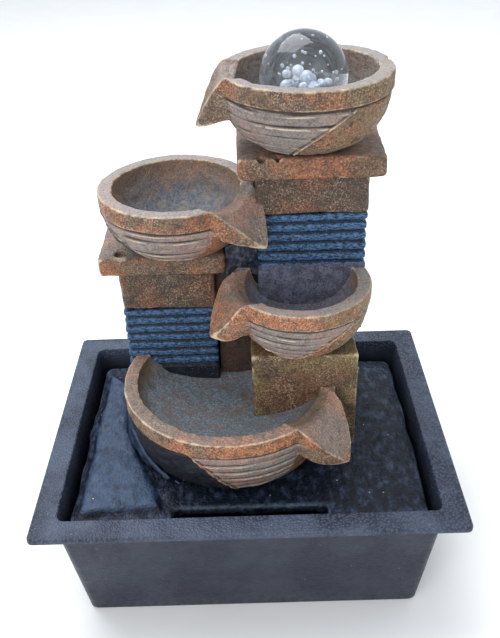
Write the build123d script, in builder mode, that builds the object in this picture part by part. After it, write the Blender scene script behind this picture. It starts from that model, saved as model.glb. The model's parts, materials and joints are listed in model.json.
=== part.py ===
"""Tabletop water fountain: a black tub, a rock deck, two columns, four spouted bowls and a glass ball.

Millimetres, +Z up, +X to the right, -Y to the front. The origin is under the middle of the tub.
"""

from build123d import *
import os
from math import cos, hypot, radians, sin

# ---------------------------------------------------------------- driving dimensions

# tub
RIM_W, RIM_D, RIM_TOP = 210.0, 165.0, 75.0
RIM_FLAT = 11.7
RIM_CORNER = 3.0
LIP_DROP, LIP_WALL = 3.5, 1.8
FLANGE_WALL = 2.0
BASE_W, BASE_D = 174.8, 128.8
TUB_WALL, FLOOR = 2.0, 2.5
TUB_CORNER, TUB_FOOT_EDGE = 5.0, 1.5

# rock deck that fills the tub
DECK_TOP = 65.0
DECK_W, DECK_D = 180.0, 132.4
DECK_PLATE, DECK_WALL = 7.0, 5.0
SKIRT_BOTTOM, SKIRT_TAPER = 40.0, 3.4
LEG_X, LEG_Y, LEG_SIDE = 71.0, 47.0, 13.0
DRAIN_X0, DRAIN_X1, DRAIN_Y = -38.0, 39.0, -56.0
DECK_EDGE, DECK_CORNER, SKIRT_CORNER = 2.5, 6.0, 4.0
DECK_HOLE_CLEAR = 0.5
MOUND_RISE, MOUND_TAPER = 4.0, 40.0
MOUND_LINE = [(-86.0, -61.0), (-42.0, -58.0), (-66.0, 3.0), (-70.0, 45.0), (-86.0, 60.0)]

# columns: front faces, back face and sides
BACK_Y = 56.0
SLAB_BACK_Y = 58.0
LEFT_FRONT_Y, RIGHT_FRONT_Y, LOWER_FRONT_Y = 20.0, 10.0, -13.0
SLAB_OVERHANG = 8.0
WALL_FRONT_Y = 25.0
LEFT_X0, LEFT_X1 = -64.5, -15.0
RIGHT_X0, RIGHT_X1 = 8.0, 61.8
LOWER_X0, LOWER_X1 = 3.5, 58.0
SLAB_LEFT_X0, SLAB_LEFT_X1 = -72.3, -9.2
SLAB_RIGHT_X0, SLAB_RIGHT_X1 = -0.5, 68.4
EDGE = 1.4
PIT_DEPTH = 2.5
LEFT_PITS, LEFT_PIT_R = [(-61.0, 16.6)], 3.4
RIGHT_PITS, RIGHT_PIT_R = [(10.6, 4.6), (18.4, 4.6)], 1.5

# levels
LOWER_BLOCK_TOP = 126.0
BLUE_RIGHT_TOP, BROWN_RIGHT_TOP, SLAB_RIGHT_TOP = 193.5, 214.4, 225.4
BLUE_LEFT_TOP, BROWN_LEFT_TOP, SLAB_LEFT_TOP = 135.5, 160.8, 171.3
RIB_PITCH, RIB_HEIGHT, RIB_DEPTH = 5.35, 4.2, 1.2
LEFT_PLAIN_TOP, RIGHT_PLAIN_TOP = 98.0, 165.5

# water line from the pump to the ball
LINE_X, LINE_Y = 31.0, 22.0
CHANNEL_R = 7.0
TUBE_R, TUBE_BORE_R = 5.0, 3.5
TUBE_BOTTOM, TUBE_TOP = 44.0, 228.0

# ball and its seat
BALL_R, BALL_Z = 20.0, 256.4
SEAT_R, SEAT_WALL = 14.0, 3.0
SEAT_GAP = 0.3
LIGHT_R, LIGHT_BORE_R = 13.4, 5.6

# bowls
RIM_BAND, BAND_STEP = 9.0, 0.8
RIM_DROP, SPOUT_ROOT = 0.6, 0.6
TIP_WALL, ROOT_RISE = 2.8, 7.0
SPOUT_HOLLOW, TIP_HOLLOW, SPOUT_EDGE = 3.4, 1.0, 2.4
HOLLOW_LEAD, SPOUT_LAP, SHOULDER = 6.0, 2.0, 0.92

# pump
PUMP_AXIS_Z = 24.0
MOTOR_HALF, MOTOR_Y0, MOTOR_Y1 = 17.0, 27.0, 58.0
MOTOR_Z0, MOTOR_Z1 = 8.5, 40.0
CHAMBER_Y0 = 17.0
COVER_Y0 = 5.0

PARTS = []


def keep(piece, name):
    """Names a finished piece and remembers it for writing."""
    piece.part.label = name
    PARTS.append(piece.part)


# ---------------------------------------------------------------- tub

SLOPE = (RIM_W / 2 - RIM_FLAT + TUB_WALL - BASE_W / 2) / RIM_TOP


def tub_half(z):
    """Half width and half depth of the tub's inner wall at a height."""
    grow = SLOPE * z - TUB_WALL
    return BASE_W / 2 + grow, BASE_D / 2 + grow


with BuildPart() as basin:
    with BuildSketch() as tub_foot:
        RectangleRounded(BASE_W, BASE_D, TUB_CORNER)
    with BuildSketch(Plane.XY.offset(RIM_TOP)) as tub_mouth:
        RectangleRounded(BASE_W + 2 * SLOPE * RIM_TOP, BASE_D + 2 * SLOPE * RIM_TOP, TUB_CORNER + 1)
    loft()
    fillet(basin.edges().group_by(Axis.Z)[0], TUB_FOOT_EDGE)
    with BuildSketch(Plane.XY.offset(RIM_TOP - FLANGE_WALL)) as flange:
        RectangleRounded(RIM_W, RIM_D, RIM_CORNER)
    extrude(amount=FLANGE_WALL)
    with BuildSketch(Plane.XY.offset(RIM_TOP - LIP_DROP)) as lip:
        RectangleRounded(RIM_W, RIM_D, RIM_CORNER)
        RectangleRounded(RIM_W - 2 * LIP_WALL, RIM_D - 2 * LIP_WALL, RIM_CORNER - 1, mode=Mode.SUBTRACT)
    extrude(amount=LIP_DROP)
    inner_x, inner_y = tub_half(FLOOR)
    with BuildSketch(Plane.XY.offset(FLOOR)) as floor_line:
        RectangleRounded(2 * inner_x, 2 * inner_y, TUB_CORNER - 1)
    mouth_x, mouth_y = tub_half(RIM_TOP)
    with BuildSketch(Plane.XY.offset(RIM_TOP)) as mouth_line:
        RectangleRounded(2 * mouth_x, 2 * mouth_y, TUB_CORNER)
    loft(mode=Mode.SUBTRACT)
keep(basin, "basin")


# ---------------------------------------------------------------- bowls with spouts


def direction(angle):
    """Unit vector in plan at an angle in degrees from +X."""
    return Vector(cos(radians(angle)), sin(radians(angle)), 0)


def leaf(length, half, fullness):
    """Leaf-shaped sketch of a spout, from its root to its rounded tip, along local X.

    fullness: width near the tip as a share of the width at the root. The root laps into the bowl's rim.
    """
    shoulder = SHOULDER * length
    tip_half = fullness * half
    middle_half = (0.56 + 0.4 * fullness) * half
    with BuildSketch() as outline:
        with BuildLine():
            Line((-SPOUT_LAP, -half), (-SPOUT_LAP, half))
            Line((-SPOUT_LAP, half), (0, half))
            ThreePointArc((0, half), (0.5 * length, middle_half), (shoulder, tip_half))
            ThreePointArc((shoulder, tip_half), (length, 0), (shoulder, -tip_half))
            ThreePointArc((shoulder, -tip_half), (0.5 * length, -middle_half), (0, -half))
            Line((0, -half), (-SPOUT_LAP, -half))
        make_face()
    return outline.sketch


def bowl_section(levels, radii):
    """Half section of a bowl, from its axis outwards, with a raised band below the rim."""
    foot_z, floor_z, rim_z = levels
    rim_r, rim_w, foot_r, floor_r = radii
    band_z = rim_z - RIM_BAND
    outer_wide, outer_high = rim_r - BAND_STEP - foot_r, band_z - foot_z
    inner_wide, inner_high = rim_r - rim_w - floor_r, rim_z - floor_z
    with BuildSketch() as section:
        with BuildLine():
            Line((0, foot_z), (foot_r, foot_z))
            EllipticalCenterArc((foot_r, band_z), outer_wide, outer_high, start_angle=270, arc_size=90)
            Line((rim_r - BAND_STEP, band_z), (rim_r, band_z))
            Line((rim_r, band_z), (rim_r, rim_z))
            Line((rim_r, rim_z), (rim_r - rim_w, rim_z))
            EllipticalCenterArc((floor_r, rim_z), inner_wide, inner_high, start_angle=270, arc_size=90)
            Line((floor_r, floor_z), (0, floor_z))
            Line((0, floor_z), (0, foot_z))
        make_face()
    return section.sketch


def carved_bowl(centre, levels, radii, spout, behind):
    """A thick round bowl with a downturned spout, cut away where the columns stand.

    levels: foot, floor and rim heights. radii: rim, rim width, foot and flat floor. spout: direction in
    degrees, half width, tip radius, tip height and fullness. behind: boxes that the bowl stops at.
    """
    rim_r, rim_w = radii[:2]
    rim_z = levels[2]
    spout_angle, spout_half, tip_r, tip_z, fullness = spout
    axis_at = Vector(*centre, 0)
    out = direction(spout_angle)

    # the spout's upper face slopes from the rim to the tip, its underside only slightly
    root_r = rim_r - SPOUT_ROOT * rim_w
    run, drop = tip_r - root_r, rim_z - RIM_DROP - tip_z
    length = hypot(run, drop)
    down_slope = (out * run - Vector(0, 0, drop)) / length
    normal = (out * drop + Vector(0, 0, run)) / length
    root_at = axis_at + out * root_r + Vector(0, 0, rim_z - RIM_DROP)
    tongue_plane = Plane(origin=root_at, x_dir=down_slope, z_dir=normal)
    opening = leaf(length, spout_half, fullness)
    tongue = leaf(length, spout_half, fullness)
    tip_under = axis_at + out * tip_r + Vector(0, 0, tip_z - TIP_WALL)
    under_slope = (Vector(0, 0, ROOT_RISE) - out * run).normalized()
    under_side = Vector(0, 0, 1).cross(out)
    under_plane = Plane(origin=tip_under, x_dir=under_slope, z_dir=under_slope.cross(under_side))

    # round hollow in the upper face, tilted so that it runs out at the tip
    hollow_half = spout_half - SPOUT_EDGE
    hollow_r = (hollow_half**2 + SPOUT_HOLLOW**2) / (2 * SPOUT_HOLLOW)
    hollow_slope = (SPOUT_HOLLOW - TIP_HOLLOW) / length
    hollow_along = (down_slope + normal * hollow_slope).normalized()
    hollow_start = root_at + normal * (hollow_r - SPOUT_HOLLOW) - hollow_along * HOLLOW_LEAD
    hollow_plane = Plane(origin=hollow_start, x_dir=tongue_plane.y_dir, z_dir=hollow_along)

    with BuildPart() as wedge:
        with BuildSketch(tongue_plane):
            add(tongue)
        extrude(amount=2 * RIM_BAND + drop, dir=(0, 0, -1))
        with BuildSketch(under_plane):
            Rectangle(4 * tip_r, 4 * tip_r)
        extrude(amount=4 * tip_r, dir=(0, 0, -1), mode=Mode.SUBTRACT)

    with BuildPart() as bowl:
        with BuildSketch(Plane(origin=axis_at, x_dir=(1, 0, 0), z_dir=(0, -1, 0))):
            add(bowl_section(levels, radii))
        revolve(axis=Axis(axis_at, (0, 0, 1)))
        with BuildSketch(tongue_plane):
            add(opening)
        extrude(amount=3 * RIM_BAND, mode=Mode.SUBTRACT)
        add(wedge.part)
        with BuildSketch(hollow_plane):
            Circle(hollow_r)
        extrude(amount=length + 2 * HOLLOW_LEAD, mode=Mode.SUBTRACT)
        for low, high in behind:
            middle = [(a + b) / 2 for a, b in zip(low, high)]
            with Locations(tuple(middle)):
                Box(*[b - a for a, b in zip(low, high)], mode=Mode.SUBTRACT)
    return bowl


FAR = 90.0
FOOT_BORE_DEPTH = 8.0
TOP_CENTRE, LEFT_CENTRE = (32.0, 22.0), (-31.0, 25.0)
MIDDLE_CENTRE, FRONT_CENTRE = (28.8, 0.0), (-8.5, 0.0)

bowl_top = carved_bowl(
    TOP_CENTRE, (SLAB_RIGHT_TOP, 232.0, 261.2), (39.5, 7.0, 12.0, 19.0), (183.0, 14.5, 51.0, 238.0, 0.3), []
)
with BuildPart() as bowl_top_bored:
    add(bowl_top.part)
    with BuildSketch(Plane.XY.offset(SLAB_RIGHT_TOP)):
        with Locations((LINE_X, LINE_Y)):
            Circle(CHANNEL_R)
    extrude(amount=FOOT_BORE_DEPTH, mode=Mode.SUBTRACT)
keep(bowl_top_bored, "bowl_top")

bowl_left = carved_bowl(
    LEFT_CENTRE,
    (SLAB_LEFT_TOP, 184.0, 205.2),
    (38.3, 7.0, 8.0, 6.0),
    (-37.0, 16.0, 53.5, 187.0, 0.3),
    [((RIGHT_X0, RIGHT_FRONT_Y, BROWN_LEFT_TOP), (FAR, FAR, SLAB_RIGHT_TOP))],
)
keep(bowl_left, "bowl_left")

bowl_middle = carved_bowl(
    MIDDLE_CENTRE,
    (LOWER_BLOCK_TOP, 142.0, 163.5),
    (34.6, 6.8, 5.0, 6.0),
    (195.0, 14.0, 47.5, 140.5, 0.6),
    [((-FAR, RIGHT_FRONT_Y, LOWER_BLOCK_TOP), (FAR, FAR, BLUE_RIGHT_TOP))],
)
keep(bowl_middle, "bowl_middle")

bowl_front = carved_bowl(
    FRONT_CENTRE,
    (DECK_TOP, 87.0, 106.0),
    (56.2, 7.5, 39.0, 10.0),
    (-36.0, 16.0, 74.0, 84.0, 0.35),
    [
        ((-FAR, LEFT_FRONT_Y, DECK_TOP), (LEFT_X1, FAR, BLUE_LEFT_TOP)),
        ((LEFT_X1, WALL_FRONT_Y, DECK_TOP), (LOWER_X0, FAR, BLUE_LEFT_TOP)),
        ((LOWER_X0, LOWER_FRONT_Y, DECK_TOP), (FAR, FAR, BLUE_LEFT_TOP)),
    ],
)
keep(bowl_front, "bowl_front")


# ---------------------------------------------------------------- columns


def block(low, high, edge=EDGE):
    """A cast block between two corners with softened edges."""
    with BuildPart() as piece:
        with BuildSketch(Plane.XY.offset(low[2])):
            with Locations(((low[0] + high[0]) / 2, (low[1] + high[1]) / 2)):
                Rectangle(high[0] - low[0], high[1] - low[1])
        extrude(amount=high[2] - low[2])
        fillet(piece.edges(), edge)
    return piece


def bore_channel(solid, low_z, high_z):
    """The block with the upright channel for the hose."""
    with BuildPart() as piece:
        add(solid.part)
        with BuildSketch(Plane.XY.offset(low_z)):
            with Locations((LINE_X, LINE_Y)):
                Circle(CHANNEL_R)
        extrude(amount=high_z - low_z, mode=Mode.SUBTRACT)
    return piece


def drill_pits(solid, top_z, places, pit_r):
    """The slab with shallow round pits in its top, near the front edge."""
    with BuildPart() as piece:
        add(solid.part)
        with BuildSketch(Plane.XY.offset(top_z)):
            with Locations(*places):
                Circle(pit_r)
        extrude(amount=-PIT_DEPTH, mode=Mode.SUBTRACT)
    return piece


def ribbed_block(low, high, first_rib_z):
    """A block with level ribs all round above first_rib_z, and a plain band below them."""
    x0, y0, z0 = low
    x1, y1, z1 = high
    ribs = int((z1 - first_rib_z) / RIB_PITCH)
    plain_top = z1 - ribs * RIB_PITCH
    with BuildPart() as piece:
        with BuildSketch(Plane.XY.offset(z0)):
            with Locations(((x0 + x1) / 2, (y0 + y1) / 2)):
                Rectangle(x1 - x0 - 2 * RIB_DEPTH, y1 - y0 - 2 * RIB_DEPTH)
        extrude(amount=z1 - z0)
        with BuildSketch(Plane.XY.offset(z0)):
            with Locations(((x0 + x1) / 2, (y0 + y1) / 2)):
                Rectangle(x1 - x0, y1 - y0)
        extrude(amount=plain_top - z0)
        for rib in range(ribs):
            rib_z = z1 - rib * RIB_PITCH - RIB_HEIGHT
            with BuildSketch(Plane.XY.offset(rib_z)):
                with Locations(((x0 + x1) / 2, (y0 + y1) / 2)):
                    RectangleRounded(x1 - x0, y1 - y0, EDGE)
            extrude(amount=RIB_HEIGHT)
    return piece


blue_block_left = ribbed_block(
    (LEFT_X0, LEFT_FRONT_Y, DECK_TOP), (LEFT_X1, BACK_Y, BLUE_LEFT_TOP), LEFT_PLAIN_TOP
)
keep(blue_block_left, "blue_block_left")

brown_block_left = block((LEFT_X0, LEFT_FRONT_Y, BLUE_LEFT_TOP), (LEFT_X1, BACK_Y, BROWN_LEFT_TOP))
keep(brown_block_left, "brown_block_left")

slab_left_solid = block(
    (SLAB_LEFT_X0, LEFT_FRONT_Y - SLAB_OVERHANG, BROWN_LEFT_TOP),
    (SLAB_LEFT_X1, SLAB_BACK_Y, SLAB_LEFT_TOP),
)
slab_left = drill_pits(slab_left_solid, SLAB_LEFT_TOP, LEFT_PITS, LEFT_PIT_R)
keep(slab_left, "slab_left")

blue_right_solid = ribbed_block(
    (RIGHT_X0, RIGHT_FRONT_Y, LOWER_BLOCK_TOP), (RIGHT_X1, BACK_Y, BLUE_RIGHT_TOP), RIGHT_PLAIN_TOP
)
blue_block_right = bore_channel(blue_right_solid, LOWER_BLOCK_TOP, BLUE_RIGHT_TOP)
keep(blue_block_right, "blue_block_right")

brown_right_solid = block((RIGHT_X0, RIGHT_FRONT_Y, BLUE_RIGHT_TOP), (RIGHT_X1, BACK_Y, BROWN_RIGHT_TOP))
brown_block_right = bore_channel(brown_right_solid, BLUE_RIGHT_TOP, BROWN_RIGHT_TOP)
keep(brown_block_right, "brown_block_right")

slab_right_solid = block(
    (SLAB_RIGHT_X0, RIGHT_FRONT_Y - SLAB_OVERHANG, BROWN_RIGHT_TOP),
    (SLAB_RIGHT_X1, SLAB_BACK_Y, SLAB_RIGHT_TOP),
)
slab_right_pitted = drill_pits(slab_right_solid, SLAB_RIGHT_TOP, RIGHT_PITS, RIGHT_PIT_R)
slab_right = bore_channel(slab_right_pitted, BROWN_RIGHT_TOP, SLAB_RIGHT_TOP)
keep(slab_right, "slab_right")

# the lower right block has a service pocket at its back, where the hose is reached
POCKET_HALF, POCKET_Z0, POCKET_Z1 = 12.0, 86.0, 110.0
COVER_FRAME, COVER_PLATE, COVER_PLUG, COVER_FIT = 4.0, 2.0, 3.0, 0.3
COVER_PLUG_WALL = 1.5

lower_solid = block((LOWER_X0, LOWER_FRONT_Y, DECK_TOP), (LOWER_X1, BACK_Y, LOWER_BLOCK_TOP))
lower_bored = bore_channel(lower_solid, DECK_TOP, LOWER_BLOCK_TOP)
with BuildPart() as lower_right_block:
    add(lower_bored.part)
    with BuildSketch(Plane.XZ.offset(-BACK_Y)):
        with Locations((LINE_X, (POCKET_Z0 + POCKET_Z1) / 2)):
            Rectangle(2 * POCKET_HALF, POCKET_Z1 - POCKET_Z0)
    extrude(amount=BACK_Y - LINE_Y, mode=Mode.SUBTRACT)
keep(lower_right_block, "lower_right_block")

PLATE_WIDE, PLATE_HIGH = 2 * (POCKET_HALF + COVER_FRAME), POCKET_Z1 - POCKET_Z0 + 2 * COVER_FRAME
PLUG_WIDE, PLUG_HIGH = 2 * (POCKET_HALF - COVER_FIT), POCKET_Z1 - POCKET_Z0 - 2 * COVER_FIT
with BuildPart() as rear_access_cover:
    with BuildSketch(Plane.XZ.offset(-BACK_Y)) as plate_outline:
        with Locations((LINE_X, (POCKET_Z0 + POCKET_Z1) / 2)):
            RectangleRounded(PLATE_WIDE, PLATE_HIGH, COVER_FRAME / 2)
    extrude(amount=-COVER_PLATE)
    with BuildSketch(Plane.XZ.offset(-BACK_Y)) as plug_outline:
        with Locations((LINE_X, (POCKET_Z0 + POCKET_Z1) / 2)):
            Rectangle(PLUG_WIDE, PLUG_HIGH)
            Rectangle(PLUG_WIDE - 2 * COVER_PLUG_WALL, PLUG_HIGH - 2 * COVER_PLUG_WALL, mode=Mode.SUBTRACT)
    extrude(amount=COVER_PLUG)
keep(rear_access_cover, "rear_access_cover")

# wall set back between the columns: narrow beside the lower block, wider above it
with BuildPart() as recessed_back_wall:
    with BuildSketch(Plane.XZ.offset(-BACK_Y)):
        with BuildLine():
            Polyline(
                (LEFT_X1, DECK_TOP),
                (LOWER_X0, DECK_TOP),
                (LOWER_X0, LOWER_BLOCK_TOP),
                (RIGHT_X0, LOWER_BLOCK_TOP),
                (RIGHT_X0, BROWN_LEFT_TOP),
                (LEFT_X1, BROWN_LEFT_TOP),
                close=True,
            )
        make_face()
    extrude(amount=BACK_Y - WALL_FRONT_Y)
keep(recessed_back_wall, "recessed_back_wall")

# black rock that fills the gap above that wall, under the left bowl's spout, and a thin joint between
# that bowl's rim and the right column
FILLER_FRONT_Y, FILLER_BOTTOM, FILLER_TOP = 13.0, 150.0, 184.0
JOINT_WIDE, JOINT_Y0, JOINT_Y1, JOINT_Z0, JOINT_Z1 = 4.0, 19.0, 42.0, 174.0, 203.0
with BuildPart() as rock_filler:
    with BuildSketch(Plane.YZ.offset(SLAB_LEFT_X1)):
        with BuildLine():
            Polyline(
                (WALL_FRONT_Y, FILLER_BOTTOM),
                (WALL_FRONT_Y, BROWN_LEFT_TOP),
                (BACK_Y, BROWN_LEFT_TOP),
                (BACK_Y, FILLER_TOP - 3),
                (FILLER_FRONT_Y + 6, FILLER_TOP),
                (FILLER_FRONT_Y, FILLER_TOP - 8),
                (FILLER_FRONT_Y + 2, FILLER_BOTTOM + 8),
                close=True,
            )
        make_face()
    extrude(amount=RIGHT_X0 - SLAB_LEFT_X1)
    with BuildSketch(Plane.XY.offset(JOINT_Z0)):
        with Locations((RIGHT_X0 - JOINT_WIDE / 2, (JOINT_Y0 + JOINT_Y1) / 2)):
            Rectangle(JOINT_WIDE, JOINT_Y1 - JOINT_Y0)
    extrude(amount=JOINT_Z1 - JOINT_Z0)
    add(bowl_left.part, mode=Mode.SUBTRACT)
keep(rock_filler, "rock_filler")


# ---------------------------------------------------------------- rock deck


SKIRT_W, SKIRT_D = DECK_W - 2 * SKIRT_TAPER, DECK_D - 2 * SKIRT_TAPER
with BuildPart() as rock_deck:
    with BuildSketch(Plane.XY.offset(SKIRT_BOTTOM)):
        RectangleRounded(SKIRT_W, SKIRT_D, SKIRT_CORNER)
    with BuildSketch(Plane.XY.offset(DECK_TOP)):
        RectangleRounded(DECK_W, DECK_D, DECK_CORNER)
    loft()
    fillet(rock_deck.edges().group_by(Axis.Z)[-1], DECK_EDGE)
    with BuildSketch(Plane.XY.offset(DECK_TOP)):
        Polygon(*MOUND_LINE, align=None)
    extrude(amount=MOUND_RISE, taper=MOUND_TAPER)
    with BuildSketch(Plane.XY.offset(SKIRT_BOTTOM)):
        RectangleRounded(SKIRT_W - 2 * DECK_WALL, SKIRT_D - 2 * DECK_WALL, SKIRT_CORNER - 1)
    extrude(amount=DECK_TOP - DECK_PLATE - SKIRT_BOTTOM, mode=Mode.SUBTRACT)
    with BuildSketch(Plane.XY.offset(FLOOR)):
        with GridLocations(2 * LEG_X, 2 * LEG_Y, 2, 2):
            Rectangle(LEG_SIDE, LEG_SIDE)
    extrude(amount=DECK_TOP - DECK_PLATE - FLOOR)
    with BuildSketch(Plane.XY.offset(SKIRT_BOTTOM)):
        with Locations(((DRAIN_X0 + DRAIN_X1) / 2, DRAIN_Y - DECK_D / 2)):
            Rectangle(DRAIN_X1 - DRAIN_X0, DECK_D)
    extrude(amount=DECK_TOP - SKIRT_BOTTOM + MOUND_RISE, mode=Mode.SUBTRACT)
    with BuildSketch(Plane.XY.offset(SKIRT_BOTTOM)):
        with Locations((LINE_X, LINE_Y)):
            Circle(CHANNEL_R + DECK_HOLE_CLEAR)
    extrude(amount=DECK_TOP - SKIRT_BOTTOM, mode=Mode.SUBTRACT)
keep(rock_deck, "rock_deck")

# black rock that the lowest bowl is bedded on, at its left; it stops inside the bowl's wall
ROCK_FOOT_HIGH, ROCK_FOOT_TAPER, ROCK_FOOT_INNER, ROCK_FOOT_SIDE = 28.0, 5.0, 47.0, -67.0
ROCK_FOOT_ELBOW, ROCK_FOOT_BULGE = (ROCK_FOOT_SIDE + 0.5, -2.0), (-54.0, -27.0)
ROCK_FOOT_END = Vector(*FRONT_CENTRE, 0) + direction(251) * ROCK_FOOT_INNER
ROCK_FOOT_MID = Vector(*FRONT_CENTRE, 0) + direction(205) * ROCK_FOOT_INNER
ROCK_FOOT_TIP = ROCK_FOOT_END - Vector(1, 3, 0)
ROCK_FOOT_BACK = (FRONT_CENTRE[0] - (ROCK_FOOT_INNER**2 - LEFT_FRONT_Y**2) ** 0.5, LEFT_FRONT_Y)
with BuildPart() as front_rock_foot:
    with BuildSketch(Plane.XY.offset(DECK_TOP)):
        with BuildLine():
            Line(ROCK_FOOT_BACK, (ROCK_FOOT_SIDE, LEFT_FRONT_Y))
            Line((ROCK_FOOT_SIDE, LEFT_FRONT_Y), ROCK_FOOT_ELBOW)
            ThreePointArc(ROCK_FOOT_ELBOW, ROCK_FOOT_BULGE, ROCK_FOOT_TIP)
            Line(ROCK_FOOT_TIP, ROCK_FOOT_END)
            ThreePointArc(ROCK_FOOT_END, ROCK_FOOT_MID, ROCK_FOOT_BACK)
        make_face()
    extrude(amount=ROCK_FOOT_HIGH, taper=ROCK_FOOT_TAPER)
    add(bowl_front.part, mode=Mode.SUBTRACT)
    add(rock_deck.part, mode=Mode.SUBTRACT)
keep(front_rock_foot, "front_rock_foot")


# ---------------------------------------------------------------- ball, seat and light

with BuildPart() as crystal_ball:
    with Locations((LINE_X, LINE_Y, BALL_Z)):
        Sphere(BALL_R)
keep(crystal_ball, "crystal_ball")

BOWL_FLOOR, SEAT_LIFT = 232.0, 0.6
SEAT_TOP = BALL_Z - (BALL_R**2 - SEAT_R**2) ** 0.5 - SEAT_GAP
LIGHT_HIGH, LENS_HIGH = 3.4, 1.0
SEAT_NOTCHES, NOTCH_WIDE, NOTCH_DEEP = 6, 6.0, 4.0

with BuildPart() as ball_seat:
    with BuildSketch(Plane.XY.offset(BOWL_FLOOR + SEAT_LIFT)):
        with Locations((LINE_X, LINE_Y)):
            Circle(SEAT_R + SEAT_WALL)
            Circle(SEAT_R, mode=Mode.SUBTRACT)
    extrude(amount=SEAT_TOP - BOWL_FLOOR - SEAT_LIFT)
    with BuildSketch(Plane(origin=(LINE_X, LINE_Y, SEAT_TOP - NOTCH_DEEP))):
        with PolarLocations(SEAT_R + SEAT_WALL / 2, SEAT_NOTCHES):
            Rectangle(3 * SEAT_WALL, NOTCH_WIDE)
    extrude(amount=NOTCH_DEEP, mode=Mode.SUBTRACT)
keep(ball_seat, "ball_seat")

with BuildPart() as light_housing:
    with BuildSketch(Plane.XY.offset(BOWL_FLOOR)):
        with Locations((LINE_X, LINE_Y)):
            Circle(LIGHT_R)
            Circle(LIGHT_BORE_R, mode=Mode.SUBTRACT)
    extrude(amount=LIGHT_HIGH)
keep(light_housing, "light_housing")

with BuildPart() as light_lens:
    with BuildSketch(Plane.XY.offset(BOWL_FLOOR + LIGHT_HIGH)):
        with Locations((LINE_X, LINE_Y)):
            Circle(LIGHT_R)
            Circle(LIGHT_BORE_R, mode=Mode.SUBTRACT)
    extrude(amount=LENS_HIGH)
keep(light_lens, "light_lens")

NOZZLE_R, JET_R, JET_STEM, JET_HEAD = 3.2, 1.6, 12.0, 8.0
with BuildPart() as jet_nozzle:
    with BuildSketch(Plane.XY.offset(TUBE_TOP - JET_STEM)):
        with Locations((LINE_X, LINE_Y)):
            Circle(TUBE_BORE_R)
    extrude(amount=JET_STEM)
    with BuildSketch(Plane.XY.offset(TUBE_TOP)):
        with Locations((LINE_X, LINE_Y)):
            Circle(TUBE_R)
    extrude(amount=JET_HEAD)
    with BuildSketch(Plane.XY.offset(TUBE_TOP - JET_STEM)):
        with Locations((LINE_X, LINE_Y)):
            Circle(JET_R)
    extrude(amount=JET_STEM + JET_HEAD, mode=Mode.SUBTRACT)
keep(jet_nozzle, "jet_nozzle")

with BuildPart() as riser_tube:
    with BuildSketch(Plane.XY.offset(TUBE_BOTTOM)):
        with Locations((LINE_X, LINE_Y)):
            Circle(TUBE_R)
            Circle(TUBE_BORE_R, mode=Mode.SUBTRACT)
    extrude(amount=TUBE_TOP - TUBE_BOTTOM)
keep(riser_tube, "riser_tube")


# ---------------------------------------------------------------- pump

WELL_R, WELL_Y1 = 6.5, 52.0
ROTOR_R, SHAFT_R, SHAFT_CLEAR = 5.8, 1.15, 0.15
CHAMBER_R, CHAMBER_WALL = 10.0, 1.5
VANE_R, VANES, VANE_WALL = 8.6, 4, 1.2
BUSH_R, BUSH_LONG = 2.6, 2.0
REAR_BUSH_Y = 49.5
INTAKE_R, INTAKE_RING, INTAKE_HOLES = 1.9, 6.4, 6
MOTOR_CORNER, MOTOR_EDGE = 4.0, 2.0
SPIGOT_TOP, SPIGOT_WALL = TUBE_BOTTOM + 10.0, 1.0
END_PLAY = 0.5


def across(y):
    """Plane that looks along +Y at a depth, with its origin on the pump's axis."""
    return Plane(origin=(LINE_X, y, PUMP_AXIS_Z), x_dir=(1, 0, 0), z_dir=(0, 1, 0))


with BuildPart() as pump_motor_housing:
    with BuildSketch(across(MOTOR_Y0)):
        with Locations((0, PUMP_AXIS_Z - (MOTOR_Z0 + MOTOR_Z1) / 2)):
            RectangleRounded(2 * MOTOR_HALF, MOTOR_Z1 - MOTOR_Z0, MOTOR_CORNER)
    extrude(amount=MOTOR_Y1 - MOTOR_Y0)
    fillet(pump_motor_housing.edges().group_by(Axis.Y)[-1], MOTOR_EDGE)
    with BuildSketch(across(MOTOR_Y0)):
        Circle(WELL_R)
    extrude(amount=WELL_Y1 - MOTOR_Y0, mode=Mode.SUBTRACT)
keep(pump_motor_housing, "pump_motor_housing")

with BuildPart() as pump_chamber:
    with BuildSketch(across(CHAMBER_Y0)):
        with Locations((0, PUMP_AXIS_Z - (MOTOR_Z0 + MOTOR_Z1) / 2)):
            RectangleRounded(2 * MOTOR_HALF - 2, MOTOR_Z1 - MOTOR_Z0 - 1, MOTOR_CORNER)
    extrude(amount=MOTOR_Y0 - CHAMBER_Y0)
    with BuildSketch(Plane.XY.offset(PUMP_AXIS_Z)):
        with Locations((LINE_X, LINE_Y)):
            Circle(NOZZLE_R)
    extrude(amount=SPIGOT_TOP - PUMP_AXIS_Z)
    with BuildSketch(across(CHAMBER_Y0 + CHAMBER_WALL)):
        Circle(CHAMBER_R)
    extrude(amount=MOTOR_Y0 - CHAMBER_Y0 - CHAMBER_WALL, mode=Mode.SUBTRACT)
    with BuildSketch(Plane.XY.offset(PUMP_AXIS_Z)):
        with Locations((LINE_X, LINE_Y)):
            Circle(NOZZLE_R - SPIGOT_WALL)
    extrude(amount=SPIGOT_TOP - PUMP_AXIS_Z, mode=Mode.SUBTRACT)
    with BuildSketch(across(CHAMBER_Y0)):
        with PolarLocations(INTAKE_RING, INTAKE_HOLES):
            Circle(INTAKE_R)
    extrude(amount=CHAMBER_WALL, mode=Mode.SUBTRACT)
keep(pump_chamber, "pump_chamber")

FRONT_BUSH_Y = CHAMBER_Y0 + CHAMBER_WALL
with BuildPart() as shaft_bushes:
    for bush_y in (FRONT_BUSH_Y, REAR_BUSH_Y):
        with BuildSketch(across(bush_y)):
            Circle(BUSH_R)
            Circle(SHAFT_R, mode=Mode.SUBTRACT)
        extrude(amount=BUSH_LONG)
keep(shaft_bushes, "shaft_bushes")

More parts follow.
